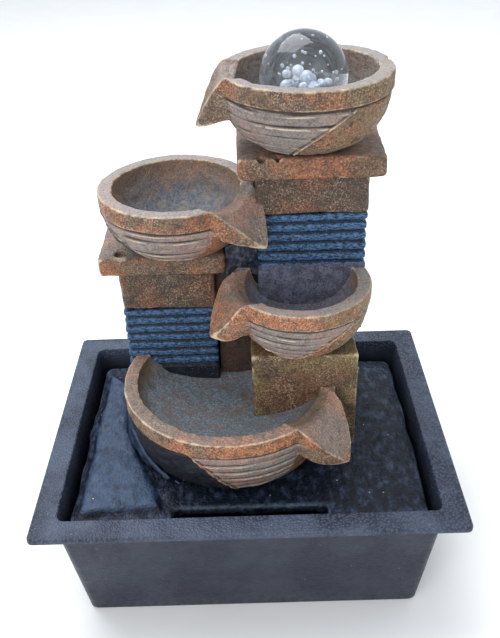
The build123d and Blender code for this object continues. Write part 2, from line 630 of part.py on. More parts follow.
with BuildPart() as impeller_shaft:
    with BuildSketch(across(FRONT_BUSH_Y)):
        Circle(SHAFT_R)
    extrude(amount=REAR_BUSH_Y + BUSH_LONG - FRONT_BUSH_Y)
keep(impeller_shaft, "impeller_shaft")

HUB_Y, HUB_WALL = MOTOR_Y0 - 1.2, 1.4
with BuildPart() as pump_impeller:
    with BuildSketch(across(HUB_Y)):
        Circle(ROTOR_R)
    extrude(amount=REAR_BUSH_Y - END_PLAY - HUB_Y)
    with BuildSketch(across(FRONT_BUSH_Y + BUSH_LONG + END_PLAY)):
        Circle(SHAFT_R + HUB_WALL)
        with PolarLocations(VANE_R / 2, VANES):
            Rectangle(VANE_R, VANE_WALL)
    extrude(amount=HUB_Y - FRONT_BUSH_Y - BUSH_LONG - END_PLAY)
    with BuildSketch(across(CHAMBER_Y0)):
        Circle(SHAFT_R + SHAFT_CLEAR)
    extrude(amount=MOTOR_Y1 - CHAMBER_Y0, mode=Mode.SUBTRACT)
keep(pump_impeller, "pump_impeller")

COVER_HALF, COVER_Z0, COVER_Z1, COVER_WALL = 15.0, 10.0, 38.0, 1.5
SLOTS, SLOT_WIDE, SLOT_PITCH = 7, 1.8, 3.6
SLOT_HIGH = 0.6 * (COVER_Z1 - COVER_Z0)
SPONGE_PLAY = 1.0
with BuildPart() as intake_cover:
    with BuildSketch(across(COVER_Y0)):
        RectangleRounded(2 * COVER_HALF, COVER_Z1 - COVER_Z0, 3)
    extrude(amount=CHAMBER_Y0 - COVER_Y0)
    with BuildSketch(across(COVER_Y0 + COVER_WALL)):
        RectangleRounded(2 * (COVER_HALF - COVER_WALL), COVER_Z1 - COVER_Z0 - 2 * COVER_WALL, 2)
    extrude(amount=CHAMBER_Y0 - COVER_Y0 - COVER_WALL, mode=Mode.SUBTRACT)
    with BuildSketch(across(COVER_Y0)):
        with GridLocations(SLOT_PITCH, 0, SLOTS, 1):
            Rectangle(SLOT_WIDE, SLOT_HIGH)
    extrude(amount=COVER_WALL, mode=Mode.SUBTRACT)
keep(intake_cover, "intake_cover")

with BuildPart() as intake_sponge:
    with BuildSketch(across(COVER_Y0 + COVER_WALL)):
        sponge_wide = 2 * (COVER_HALF - COVER_WALL) - SPONGE_PLAY
        sponge_high = COVER_Z1 - COVER_Z0 - 2 * COVER_WALL - SPONGE_PLAY
        RectangleRounded(sponge_wide, sponge_high, 2)
    extrude(amount=CHAMBER_Y0 - COVER_Y0 - COVER_WALL - SPONGE_PLAY)
keep(intake_sponge, "intake_sponge")

REGULATOR_WALL, REGULATOR_WIDE, REGULATOR_HIGH = 1.6, 9.0, 14.0
REGULATOR_X = -COVER_HALF + REGULATOR_WIDE / 2 + 2
THUMB_HIGH, THUMB_WIDE = 7.0, 2.4
with BuildPart() as flow_regulator:
    with BuildSketch(across(COVER_Y0 - REGULATOR_WALL)):
        with Locations((REGULATOR_X, 0)):
            RectangleRounded(REGULATOR_WIDE, REGULATOR_HIGH, 1.5)
    extrude(amount=REGULATOR_WALL)
    with BuildSketch(across(COVER_Y0 - 2 * REGULATOR_WALL)):
        with Locations((REGULATOR_X, 0)):
            SlotOverall(THUMB_HIGH, THUMB_WIDE, rotation=90)
    extrude(amount=REGULATOR_WALL)
keep(flow_regulator, "flow_regulator")

CUP_X, CUP_Y, CUP_R, CUP_TAPER = 11.0, 10.0, 6.5, 20.0
with BuildPart() as suction_cups:
    with BuildSketch(Plane(origin=(LINE_X, (MOTOR_Y0 + MOTOR_Y1) / 2, FLOOR))):
        with GridLocations(2 * CUP_X, 2 * CUP_Y, 2, 2):
            Circle(CUP_R)
    extrude(amount=MOTOR_Z0 - FLOOR, taper=CUP_TAPER)
keep(suction_cups, "suction_cups")

GLAND_R, GLAND_BORE_R, GLAND_HIGH, GLAND_TAPER = 4.0, 2.0, 6.0, 8.0
GLAND_PLANE = Plane(origin=(LINE_X, MOTOR_Y1 - 2 * GLAND_R, MOTOR_Z1))
with BuildPart() as pump_cable_gland:
    with BuildSketch(GLAND_PLANE):
        Circle(GLAND_R)
    extrude(amount=GLAND_HIGH, taper=GLAND_TAPER)
    with BuildSketch(GLAND_PLANE):
        Circle(GLAND_BORE_R)
    extrude(amount=GLAND_HIGH, mode=Mode.SUBTRACT)
keep(pump_cable_gland, "pump_cable_gland")


# ---------------------------------------------------------------- written files

os.makedirs("parts", exist_ok=True)
for finished in PARTS:
    export_step(finished, f"parts/{finished.label}.step")
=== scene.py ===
"""Looks of the tabletop water fountain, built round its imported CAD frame.

Blocks, slabs and rocks start from their CAD node, turned into a signed distance field in millimetres. Bowls
start from their own section and spout, on a grid round their CAD node. Grooves, ridges, pits and lumps are
added to the field, and the surface is taken out again as a mesh. The tub and the ball are built directly.
"""

import json
import math

import bmesh
import bpy
import numpy as np
import openvdb
from mathutils import Matrix, Vector


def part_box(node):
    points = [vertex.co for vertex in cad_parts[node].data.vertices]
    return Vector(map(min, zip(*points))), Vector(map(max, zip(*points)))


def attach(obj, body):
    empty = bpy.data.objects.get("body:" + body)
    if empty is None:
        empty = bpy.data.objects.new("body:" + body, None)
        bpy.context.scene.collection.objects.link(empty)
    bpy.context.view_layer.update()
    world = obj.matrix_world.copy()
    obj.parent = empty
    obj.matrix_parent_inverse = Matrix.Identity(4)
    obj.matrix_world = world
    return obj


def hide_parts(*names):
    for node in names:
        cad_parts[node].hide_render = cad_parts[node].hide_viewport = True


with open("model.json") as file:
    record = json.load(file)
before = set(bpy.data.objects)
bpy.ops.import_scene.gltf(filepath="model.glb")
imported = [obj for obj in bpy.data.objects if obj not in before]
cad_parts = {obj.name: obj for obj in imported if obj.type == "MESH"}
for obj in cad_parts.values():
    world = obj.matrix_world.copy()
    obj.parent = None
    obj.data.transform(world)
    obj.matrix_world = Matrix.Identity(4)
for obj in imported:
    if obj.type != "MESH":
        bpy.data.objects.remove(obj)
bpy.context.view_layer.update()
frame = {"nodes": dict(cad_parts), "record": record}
MM = 0.001
BODY_OF = {node: body for body, nodes in frame["record"]["behaviour"]["bodies"].items() for node in nodes}

# Fields hold distances up to BAND, in voxels for the CAD mesh and in mm elsewhere. MARGIN is in voxels.
BAND = 6.0
MARGIN = 8


# ---------------------------------------------------------------- fields


class Field:
    """Signed distance on a regular grid, in millimetres, positive outside the piece."""

    def __init__(self, node, voxel):
        mesh = frame["nodes"][node].data
        points = np.empty(len(mesh.vertices) * 3, np.float32)
        mesh.vertices.foreach_get("co", points)
        points = points.reshape(-1, 3) / MM
        mesh.calc_loop_triangles()
        corners = np.empty(len(mesh.loop_triangles) * 3, np.int32)
        mesh.loop_triangles.foreach_get("vertices", corners)
        corners = corners.reshape(-1, 3).astype(np.uint32)
        self.node = node
        self.voxel = voxel * 1.0
        self.low = points.min(0) - MARGIN * self.voxel
        counts = np.ceil((points.max(0) + MARGIN * self.voxel - self.low) / self.voxel).astype(int) + 1
        scale = openvdb.createLinearTransform(voxelSize=self.voxel)
        level_set = openvdb.FloatGrid.createLevelSetFromPolygons(
            points - self.low, triangles=corners, transform=scale, halfWidth=BAND
        )
        self.d = np.full(counts, BAND, np.float32)
        level_set.copyToArray(self.d)
        self.axes = [self.low[i] + self.voxel * np.arange(counts[i]) for i in range(3)]
        self.x = self.axes[0][:, None, None].astype(np.float32)
        self.y = self.axes[1][None, :, None].astype(np.float32)
        self.z = self.axes[2][None, None, :].astype(np.float32)

    def soften(self, reach):
        """Blurs the field over about `reach` millimetres, which rounds edges."""
        self.d = blurred(self.d, max(1, round((reach / self.voxel) ** 2)))

    def lumps(self, size, seed):
        """Smooth random field, mostly between -1 and 1, with lumps of a size or of a size for each axis."""
        sizes = size if isinstance(size, tuple) else (size, size, size)
        weights = [spline_weights(a, s) for a, s in zip(self.axes, sizes)]
        counts = [w.shape[1] for w in weights]
        knots = np.random.default_rng(seed).standard_normal(counts).astype(np.float32)
        out = np.tensordot(weights[0], knots, (1, 0))
        out = np.tensordot(out, weights[1], (1, 1))
        out = np.tensordot(out, weights[2], (1, 1))
        return out * 1.9

    def surface(self):
        """Points (mm) and faces of the surface, with faces turned outwards."""
        grid = openvdb.FloatGrid(BAND)
        grid.transform = openvdb.createLinearTransform(voxelSize=self.voxel)
        grid.copyFromArray(np.clip(self.d, -BAND, BAND))
        points, _, quads = grid.convertToPolygons()
        return points + self.low, quads.astype(np.int64)

    def at(self, array, points):
        """Values of an array on this grid at points, by straight-line blending."""
        place = (points - self.low) / self.voxel
        place = np.clip(place, 0, np.array(self.d.shape) - 1.001)
        first = place.astype(int)
        part = place - first
        total = np.zeros(len(points), np.float32)
        for corner in np.ndindex(2, 2, 2):
            weight = np.prod(np.where(corner, part, 1 - part), axis=1)
            index = first + corner
            total += weight * array[index[:, 0], index[:, 1], index[:, 2]]
        return total


def spline_weights(coords, step):
    """Cubic spline weights that blend knots `step` apart, one row for each coordinate."""
    t = (coords - coords[0]) / step
    first = np.floor(t).astype(int)
    f = t - first
    weights = np.zeros((len(coords), first[-1] + 4), np.float32)
    rows = np.arange(len(coords))
    shares = [(1 - f) ** 3, 3 * f**3 - 6 * f**2 + 4, -3 * f**3 + 3 * f**2 + 3 * f + 1, f**3]
    for knot, share in enumerate(shares):
        weights[rows, first + knot] = share / 6
    return weights


def blurred(array, times):
    """The array smoothed along each axis, `times` times."""
    for _ in range(times):
        for axis in range(3):
            ahead = np.roll(array, -1, axis)
            behind = np.roll(array, 1, axis)
            array = 0.25 * ahead + 0.5 * array + 0.25 * behind
    return array


def smoothstep(low, high, value):
    """0 below low, 1 above high, smooth between."""
    t = np.clip((value - low) / (high - low), 0, 1)
    return t * t * (3 - 2 * t)


def bump(value, centre, width):
    """Bell curve of height 1."""
    return np.exp(-(((value - centre) / width) ** 2))


# ---------------------------------------------------------------- meshes


def build_mesh(name, points, faces, material):
    """Smooth-shaded object from points in metres and lists of corner numbers."""
    mesh = bpy.data.meshes.new(name)
    mesh.from_pydata(points, [], faces)
    mesh.update()
    mesh.materials.append(material)
    mesh.shade_smooth()
    piece = bpy.data.objects.new(name, mesh)
    bpy.context.scene.collection.objects.link(piece)
    return piece


def cast_piece(field, material, paint=None):
    """Mesh of a field that stands for its CAD node. paint(points, normals) gives extra attributes."""
    points, quads = field.surface()
    a, b, c = points[quads[:, 0]], points[quads[:, 1]], points[quads[:, 2]]
    if np.einsum("ij,ij->", a, np.cross(b, c)) < 0:
        quads = quads[:, ::-1]
    piece = build_mesh(field.node + "_cast", points * MM, quads.tolist(), material)
    mesh = piece.data
    normals = np.empty(len(points) * 3, np.float32)
    mesh.vertices.foreach_get("normal", normals)
    normals = normals.reshape(-1, 3)
    reach = 1.1 / field.voxel
    # Convexity of the surface: the resin paints cream wear on its edges and painted shade in its hollows;
    # the black rock paints its edges lighter, partly wear and partly a painted highlight.
    wear_and_painted_light = field.at(blurred(field.d, max(2, round(reach**2))) - field.d, points)
    values = {"wear_and_painted_light": wear_and_painted_light}
    if paint:
        values.update(paint(points, normals))
    for key, array in values.items():
        attribute = mesh.attributes.new(key, "FLOAT", "POINT")
        attribute.data.foreach_set("value", np.ascontiguousarray(array, np.float32))
    node = field.node
    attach(piece, BODY_OF[node])
    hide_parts(node)
    return piece


# ---------------------------------------------------------------- materials


class Graph:
    """Short names for building a node material."""

    def __init__(self, name):
        self.material = bpy.data.materials.new(name)
        self.material.use_nodes = True
        self.tree = self.material.node_tree
        self.shader = self.tree.nodes["Principled BSDF"]
        self.place = self.tree.nodes.new("ShaderNodeTexCoord").outputs["Object"]

    def put(self, socket, value):
        """Links or sets a socket."""
        if isinstance(value, bpy.types.NodeSocket):
            self.tree.links.new(value, socket)
        elif isinstance(value, tuple) and len(value) == 3 and socket.type == "RGBA":
            socket.default_value = (*value, 1)
        else:
            socket.default_value = value

    def noise(self, size_mm, detail=2.0, stretch=(1, 1, 1), roughness=0.55):
        """Noise between 0 and 1 with features of about a size."""
        scaled = self.tree.nodes.new("ShaderNodeMapping")
        self.put(scaled.inputs["Vector"], self.place)
        scaled.inputs["Scale"].default_value = [1 / (size_mm * MM * s) for s in stretch]
        texture = self.tree.nodes.new("ShaderNodeTexNoise")
        self.put(texture.inputs["Vector"], scaled.outputs["Vector"])
        texture.inputs["Scale"].default_value = 1
        texture.inputs["Detail"].default_value = detail
        texture.inputs["Roughness"].default_value = roughness
        return texture.outputs["Fac"]

    def cells(self, size_mm):
        """Distance to the nearest of scattered points, in cell widths."""
        scaled = self.tree.nodes.new("ShaderNodeMapping")
        self.put(scaled.inputs["Vector"], self.place)
        scaled.inputs["Scale"].default_value = [1 / (size_mm * MM)] * 3
        texture = self.tree.nodes.new("ShaderNodeTexVoronoi")
        self.put(texture.inputs["Vector"], scaled.outputs["Vector"])
        texture.inputs["Scale"].default_value = 1
        return texture.outputs["Distance"]

    def attribute(self, name):
        """A painted vertex value."""
        node = self.tree.nodes.new("ShaderNodeAttribute")
        node.attribute_name = name
        return node.outputs["Fac"]

    def math(self, operation, a, b):
        """One arithmetic step."""
        node = self.tree.nodes.new("ShaderNodeMath")
        node.operation = operation
        self.put(node.inputs[0], a)
        self.put(node.inputs[1], b)
        return node.outputs[0]

    def range(self, value, low, high, to_low=0.0, to_high=1.0):
        """Value mapped smoothly from low..high to to_low..to_high."""
        node = self.tree.nodes.new("ShaderNodeMapRange")
        node.interpolation_type = "SMOOTHSTEP"
        self.put(node.inputs["Value"], value)
        node.inputs["From Min"].default_value = low
        node.inputs["From Max"].default_value = high
        node.inputs["To Min"].default_value = to_low
        node.inputs["To Max"].default_value = to_high
        return node.outputs["Result"]

    def mix(self, amount, a, b):
        """Colour a turning into colour b."""
        node = self.tree.nodes.new("ShaderNodeMix")
        node.data_type = "RGBA"
        self.put(node.inputs[0], amount)
        self.put(node.inputs[6], a)
        self.put(node.inputs[7], b)
        return node.outputs[2]

    def bump(self, height, depth_mm):
        """Fine relief on the shader."""
        node = self.tree.nodes.new("ShaderNodeBump")
        node.inputs["Distance"].default_value = depth_mm * MM
        node.inputs["Strength"].default_value = 1
        self.put(node.inputs["Height"], height)
        self.put(self.shader.inputs["Normal"], node.outputs["Normal"])

    def finish(self, colour, roughness, **extra):
        """Sets the shader's colour, roughness and other inputs."""
        self.put(self.shader.inputs["Base Color"], colour)
        self.put(self.shader.inputs["Roughness"], roughness)
        for key, value in extra.items():
            self.shader.inputs[key.replace("_", " ")].default_value = value
        return self.material


RUST, BROWN, DEEP = (0.31, 0.120, 0.055), (0.17, 0.102, 0.064), (0.022, 0.015, 0.012)
OLIVE, CREAM, GREY = (0.21, 0.150, 0.060), (0.66, 0.53, 0.36), (0.29, 0.275, 0.275)
BLACK, BLUE_GREY = (0.010, 0.012, 0.019), (0.12, 0.135, 0.165)


def painted_resin(name, body, patches, cream=CREAM, stipple=0.65, inside=BLUE_GREY, inside_wall=BROWN):
    """Stippled, dry-brushed resin. Vertex values: the convexity, which gives cream wear on edges and
    painted shade in hollows, then grey, blue, within, calm, black and olive.
    """
    g = Graph(name)
    colour = g.mix(g.range(g.noise(24, 4), 0.44, 0.58), body, patches)
    shade = g.range(g.noise(4.5, 4, roughness=0.7), 0.36, 0.58, 0.55, 0.0)
    colour = g.mix(shade, colour, DEEP)
    olive = g.math("MULTIPLY", g.attribute("olive"), g.range(g.noise(9, 3), 0.3, 0.6))
    colour = g.mix(olive, colour, OLIVE)
    speck = g.noise(0.8, 3, roughness=0.75)
    colour = g.mix(g.range(speck, 0.40, 0.54, stipple, 0.0), colour, DEEP)
    dust_patches = g.range(g.noise(11, 3), 0.35, 0.65, 0.15, 0.60)
    dusting = g.math("MULTIPLY", g.range(speck, 0.50, 0.70), dust_patches)
    colour = g.mix(dusting, colour, cream)
    grey = g.math("MULTIPLY", g.attribute("grey"), g.range(g.noise(1.3, 3), 0.30, 0.58, 0.35, 1.0))
    colour = g.mix(grey, colour, GREY)
    blotches = g.range(g.noise(6.0, 4, roughness=0.7), 0.35, 0.60, 0.45, 1.0)
    scuffs = g.range(g.noise(2.2, 4, stretch=(1.6, 1.6, 0.7), roughness=0.75), 0.38, 0.60, 0.2, 1.0)
    within = g.math("MULTIPLY", g.attribute("within"), g.math("MULTIPLY", scuffs, 0.85))
    colour = g.mix(within, colour, inside_wall)
    flecks = g.range(g.noise(1.2, 3, roughness=0.7), 0.42, 0.62, 0.45, 1.35)
    dim = tuple(0.3 * c for c in inside)
    lit = tuple(1.5 * c for c in inside)
    bright = g.mix(g.math("MULTIPLY", flecks, 0.6), dim, lit)
    colour = g.mix(g.math("MULTIPLY", g.attribute("blue"), blotches), colour, bright)
    fine = g.math("MULTIPLY", g.noise(1.8, 3), 0.22)
    broad = g.math("MULTIPLY", g.noise(9, 2), 0.20)
    patchy = g.math("ADD", fine, broad)
    height = g.math("SUBTRACT", g.attribute("wear_and_painted_light"), g.math("MULTIPLY", g.attribute("calm"), 0.05))
    worn = g.range(g.math("ADD", height, patchy), 0.36, 0.56, 0.0, 0.8)
    colour = g.mix(worn, colour, cream)
    # Hollows and creases are painted towards DEEP: painted shade.
    hollow = g.range(g.attribute("wear_and_painted_light"), -0.30, -0.05, 0.85, 0.0)
    colour = g.mix(hollow, colour, DEEP)
    ragged = g.math("ADD", g.attribute("black"), g.math("MULTIPLY", g.noise(2.5, 3), 0.5))
    colour = g.mix(g.range(ragged, 0.55, 0.85), colour, BLACK)
    g.bump(g.math("ADD", g.noise(0.8, 2), g.math("MULTIPLY", g.noise(2.2, 2), 0.8)), 0.5)
    return g.finish(colour, g.range(g.noise(3, 3), 0.3, 0.7, 0.46, 0.72))


def blue_resin(name, low):
    """Nearly black navy resin whose ribs are dry-brushed in denim blue."""
    g = Graph(name)
    streaks = g.noise(1.0, 3, stretch=(2.5, 2.5, 0.8), roughness=0.7)
    dusted = g.math("MULTIPLY", g.attribute("rib"), g.range(streaks, 0.36, 0.62))
    low = g.mix(g.range(g.noise(5, 4, roughness=0.7), 0.38, 0.62), tuple(0.5 * c for c in low), low)
    colour = g.mix(g.attribute("plain"), (0.006, 0.009, 0.020), low)
    colour = g.mix(dusted, colour, (0.070, 0.175, 0.350))
    speck = g.noise(0.9, 2, roughness=0.7)
    colour = g.mix(g.range(speck, 0.34, 0.48, 0.75, 0.0), colour, (0.004, 0.006, 0.014))
    colour = g.mix(g.range(speck, 0.58, 0.72, 0.0, 0.5), colour, (0.16, 0.24, 0.42))
    g.bump(speck, 0.35)
    return g.finish(colour, 0.5, Specular_IOR_Level=0.35)


def black_rock(name, dusty=(0.034, 0.058, 0.112)):
    """Black painted rock with a satin skin, pale specks and random dusty patches; its edges are painted
    lighter and bluer, partly wear and partly a painted highlight, and its upward faces lighter, partly
    settled dust and partly a painted sheen.
    """
    g = Graph(name)
    dust_and_sheen = g.noise(4, 5, stretch=(1, 1.6, 1), roughness=0.65)
    colour = g.mix(g.range(dust_and_sheen, 0.46, 0.72), (0.004, 0.007, 0.016), dusty)
    # Convex edges painted lighter and bluer: partly wear, partly a painted highlight.
    patchy = g.math("ADD", g.attribute("wear_and_painted_light"), g.math("MULTIPLY", g.noise(1.5, 3), 0.25))
    colour = g.mix(g.range(patchy, 0.20, 0.46), colour, (0.085, 0.12, 0.18))
    # Upward faces painted lighter and bluer: partly settled dust, partly a painted sheen of the light from
    # above.
    settled_dust_and_sheen = g.math("MULTIPLY", g.attribute("dust_and_sheen"), g.range(dust_and_sheen, 0.30, 0.60, 0.3, 0.9))
    colour = g.mix(settled_dust_and_sheen, colour, (0.045, 0.074, 0.135))
    specks = g.range(g.cells(8.5), 0.03, 0.055, 1.0, 0.0)
    colour = g.mix(specks, colour, (0.45, 0.45, 0.45))
    grain = g.math("ADD", g.noise(1.4, 4), g.noise(2.4, 4, stretch=(1, 3, 1)))
    g.bump(g.math("ADD", grain, g.math("MULTIPLY", g.noise(5, 3), 1.2)), 0.7)
    return g.finish(colour, g.range(g.noise(4, 3), 0.3, 0.7, 0.30, 0.60), Specular_IOR_Level=0.30)


def tub_plastic(name):
    """Black injection-moulded plastic: leather grain on the rim, fine matte walls, dusty smudges. The rim
    top and its grain bumps are painted lighter and bluer as a painted sheen, and the inner wall is painted
    near-black as painted shade.
    """
    g = Graph(name)
    rim = g.attribute("rim")
    smudge = g.range(g.noise(22, 4), 0.40, 0.62)
    wall = g.mix(smudge, (0.015, 0.019, 0.034), (0.026, 0.031, 0.048))
    # The rim top is painted lighter and bluer than the walls, and its raised grain bumps lighter still: a
    # painted sheen of the light from above on the same black plastic.
    top = g.mix(smudge, (0.010, 0.016, 0.034), (0.040, 0.055, 0.090))
    leather = g.cells(1.3)
    top = g.mix(g.range(leather, 0.25, 0.70), g.mix(0.4, top, (0.10, 0.13, 0.19)), top)
    # The inner wall below the rim is painted near-black: painted shade under the rim.
    colour = g.mix(g.attribute("within"), g.mix(rim, wall, top), (0.004, 0.006, 0.012))
    colour = g.mix(g.range(g.cells(7.0), 0.04, 0.07, 0.6, 0.0), colour, (0.20, 0.20, 0.21))
    grain = g.math("MULTIPLY", g.range(leather, 0.1, 0.7, 1.0, 0.0), g.range(rim, 0, 1, 0.25, 1.0))
    g.bump(grain, 0.30)
    return g.finish(colour, g.range(g.noise(3, 3), 0.3, 0.7, 0.34, 0.55), Specular_IOR_Level=0.35)


def plain_plastic(name, colour, roughness, grain_mm=0.5, depth_mm=0.04, **extra):
    """Moulded plastic or rubber with a fine grain and slight handling marks."""
    g = Graph(name)
    dull = tuple(0.8 * c for c in colour)
    tone = g.mix(g.range(g.noise(8, 3), 0.35, 0.65), colour, dull)
    g.bump(g.noise(grain_mm, 3), depth_mm)
    return g.finish(tone, g.range(g.noise(5, 3), 0.3, 0.7, roughness - 0.06, roughness + 0.06), **extra)


def clear_glass(name):
    """Clear glass with a very slight ripple."""
    g = Graph(name)
    g.bump(g.noise(6, 2), 0.01)
    return g.finish((0.82, 0.91, 1.0), 0.0, Transmission_Weight=1.0, IOR=1.45)


def bubble_painted_reflection(name):
    """Air bubbles in the glass, painted near-white and milky: their brightness is painted reflection."""
    g = Graph(name)
    tone = g.mix(g.range(g.noise(1.2, 3), 0.35, 0.65), (0.95, 0.96, 1.0), (0.75, 0.80, 0.88))
    g.bump(g.noise(0.7, 2), 0.05)
    return g.finish(tone, 0.25, Transmission_Weight=0.25)


# ---------------------------------------------------------------- tub


def rounded_loop(half_x, half_y, corner, steps=10):
    """Points of a rounded rectangle in plan, counter-clockwise from above."""
    corner = max(corner, 0.05)
    loop = []
    for quarter, (sx, sy) in enumerate(((1, 1), (-1, 1), (-1, -1), (1, -1))):
        centre = (sx * (half_x - corner), sy * (half_y - corner))
        for step in range(steps + 1):
            angle = math.radians(90 * quarter + 90 * step / steps)
            loop.append((centre[0] + corner * math.cos(angle), centre[1] + corner * math.sin(angle)))
    return loop


def make_tub(material):
    """The tub: a closed profile carried round a rounded rectangle."""
    low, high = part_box("basin")
    half_x, half_y, top = high.x / MM, high.y / MM, high.z / MM
    flat, lip_drop, lip_wall, flange, wall, floor = 11.7, 3.5, 1.8, 2.0, 2.0, 2.5
    foot_half = 87.4
    outer_heights, inner_heights = (12, 24, 36, 48, 60), (66, 56, 46, 36, 26, 16, 8)
    slope = (half_x - flat + wall - foot_half) / top
    mouth = half_x - flat

    def arc(inset, z, radius, start, turn, steps=4):
        """Points of a small fillet in the profile, as (inset from the rim's outer edge, height)."""
        points = []
        for step in range(steps + 1):
            angle = math.radians(start + turn * step / steps)
            points.append((inset + radius * math.cos(angle), z + radius * math.sin(angle)))
        return points

    def outer(z):
        return half_x - (mouth + wall - slope * (top - z))

    def inner(z):
        return outer(z) + wall

    profile = [(half_x, 0), (outer(0) + 1.4, 0), (outer(0.5) + 0.45, 0.45), (outer(1.6), 1.6)]
    profile += [(outer(z), z) for z in outer_heights]
    profile += [(outer(top - flange - 0.8), top - flange - 0.8), (outer(top - flange) - 0.8, top - flange)]
    profile += [(lip_wall, top - flange), (lip_wall, top - lip_drop + 0.3)]
    profile += [(lip_wall - 0.4, top - lip_drop), (0.5, top - lip_drop), (0, top - lip_drop + 0.5)]
    profile += arc(1.3, top - 1.3, 1.3, 180, -90)
    profile += [(flat - 1.0, top)]
    profile += arc(flat - 0.6, top - 0.9, 0.9, 90, -85)
    profile += [(inner(z), z) for z in inner_heights]
    profile += [(inner(floor + 1.5), floor + 1.5), (inner(floor) + 0.5, floor + 0.4)]
    profile += [(inner(floor) + 1.6, floor), (half_x, floor)]

    points, faces, rim_values, inner_shade_values = [], [], [], []
    count = len(rounded_loop(10, 10, 1))
    last_rim_ring = profile.index((inner(inner_heights[0]), inner_heights[0])) - 1
    for ring_number, (inset, z) in enumerate(profile[1:-1]):
        corner = 3.0 if inset < flat - 2 else 5.0
        for x, y in rounded_loop(half_x - inset, half_y - inset, max(corner - 0.3 * min(inset, 2), 0.6)):
            points.append((x * MM, y * MM, z * MM))
            rim_values.append(1.0 if z > top - lip_drop - 0.1 and inset < flat + 0.6 else 0.0)
            # Rings below the rim's inner edge get 1: the inner wall is painted near-black there, painted
            # shade under the rim.
            inner_shade_values.append(1.0 if ring_number > last_rim_ring else 0.0)
    rings = len(profile) - 2
    for ring in range(rings - 1):
        for step in range(count):
            a, b = ring * count + step, ring * count + (step + 1) % count
            faces.append((a, b, b + count, a + count))
    faces.append(tuple(reversed(range(count))))
    faces.append(tuple(range((rings - 1) * count, rings * count)))
    piece = build_mesh("basin_moulded", points, faces, material)
    for key, values in (("rim", rim_values), ("within", inner_shade_values)):
        attribute = piece.data.attributes.new(key, "FLOAT", "POINT")
        attribute.data.foreach_set("value", values)
    edge_split = piece.modifiers.new("sharp", "EDGE_SPLIT")
    edge_split.split_angle = math.radians(50)
    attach(piece, BODY_OF["basin"])
    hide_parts("basin")


# ---------------------------------------------------------------- bowls


def quarter_ellipse(start_r, end_r, start_z, end_z):
    """(radius, height) points that leave the start level and arrive at the end upright."""
    return [
        (start_r + (end_r - start_r) * math.sin(a), end_z - (end_z - start_z) * math.cos(a))
        for a in np.radians(np.linspace(0, 90, 25))
    ]


class BowlForm:
    """Sizes of one bowl in millimetres. Angles are in degrees from +X.

    rim: radius and width. heights: foot, floor and rim.
    spout: direction, half width, tip radius, tip height and fullness of the outline.
    lines: number of carved lines, then the side, start angle and end angle of the curve that limits them.
    behind: CAD nodes that the bowl stops at.
    """

    def __init__(self, node, centre, rim, foot_r, heights, spout, lines, behind):
        self.node = node
        self.centre = centre
        self.rim_r, self.rim_w = rim
        self.foot_r = foot_r
        self.foot_z, self.floor_z, self.rim_z = heights
        self.angle, self.half, self.tip_r, self.tip_z, self.fullness = spout
        self.lines, self.side, self.limit_at_band, self.limit_at_foot = lines
        self.behind = behind
        self.band_z = self.rim_z - BAND_HEIGHT

    def profile(self):
        """Outline of half the bowl's section, as (radius, height) points."""
        inner_r = self.rim_r - self.rim_w
        floor_r = 0.5 * inner_r if self.node == "bowl_top" else 0.2 * inner_r
        outer = quarter_ellipse(self.foot_r, self.rim_r - 0.8, self.foot_z, self.band_z)
        inner = quarter_ellipse(floor_r, inner_r, self.floor_z, self.rim_z)[::-1]
        rim = [(self.rim_r, self.band_z), (self.rim_r, self.rim_z)]
        return [(0, self.foot_z)] + outer + rim + inner + [(0, self.floor_z)]


BAND_HEIGHT = 9.0
BOWLS = [
    BowlForm(
        "bowl_top",
        centre=(32.0, 22.0),
        rim=(39.5, 7.0),
        foot_r=12.0,
        heights=(225.4, 232.0, 261.2),
        spout=(182.0, 14.0, 51.0, 237.5, 1.6),
        lines=(4, "right", -57, -112),
        behind=[],
    ),
    BowlForm(
        "bowl_left",
        centre=(-31.0, 25.0),
        rim=(38.3, 7.0),
        foot_r=8.0,
        heights=(171.3, 184.0, 205.2),
        spout=(-36.0, 16.0, 53.5, 186.5, 1.4),
        lines=(5, "left", -160, -104),
        behind=["brown_block_right", "blue_block_right"],
    ),
    BowlForm(
        "bowl_middle",
        centre=(28.8, 0.0),
        rim=(34.6, 6.8),
        foot_r=5.0,
        heights=(126.0, 142.0, 163.5),
        spout=(193.0, 15.0, 47.0, 140.5, 2.6),
        lines=(6, "right", -38, -112),
        behind=["blue_block_right"],
    ),
    BowlForm(
        "bowl_front",
        centre=(-8.5, 0.0),
        rim=(56.2, 7.5),
        foot_r=39.0,
        heights=(65.0, 87.0, 106.0),
        spout=(-36.0, 16.5, 73.5, 83.5, 1.8),
        lines=(6, "left", -112, -84),
        behind=["blue_block_left", "recessed_back_wall", "lower_right_block"],
    ),
]

# Spouts: wall under the tip, and how much higher the underside is at the root.
TIP_WALL, ROOT_RISE = 2.8, 7.0


def section_distance(profile, r, z):
    """Signed distance to a closed section, on a table of radii r and heights z."""
    points = np.array(profile, float)
    corners = np.concatenate([points, points[:1]])
    rr, zz = np.meshgrid(r, z, indexing="ij")
    nearest = np.full(rr.shape, np.inf)
    inside = np.zeros(rr.shape, bool)
    for (r0, z0), (r1, z1) in zip(corners[:-1], corners[1:]):
        along = (rr - r0) * (r1 - r0) + (zz - z0) * (z1 - z0)
        share = np.clip(along / max((r1 - r0) ** 2 + (z1 - z0) ** 2, 1e-9), 0, 1)
        away = np.hypot(rr - r0 - share * (r1 - r0), zz - z0 - share * (z1 - z0))
        if max(r0, r1) > 1e-6:
            nearest = np.minimum(nearest, away)
        crosses = (z0 > zz) != (z1 > zz)
        with np.errstate(divide="ignore", invalid="ignore"):
            inside ^= crosses & (rr < (r1 - r0) * (zz - z0) / (z1 - z0) + r0)
    return np.where(inside, -nearest, nearest).astype(np.float32)


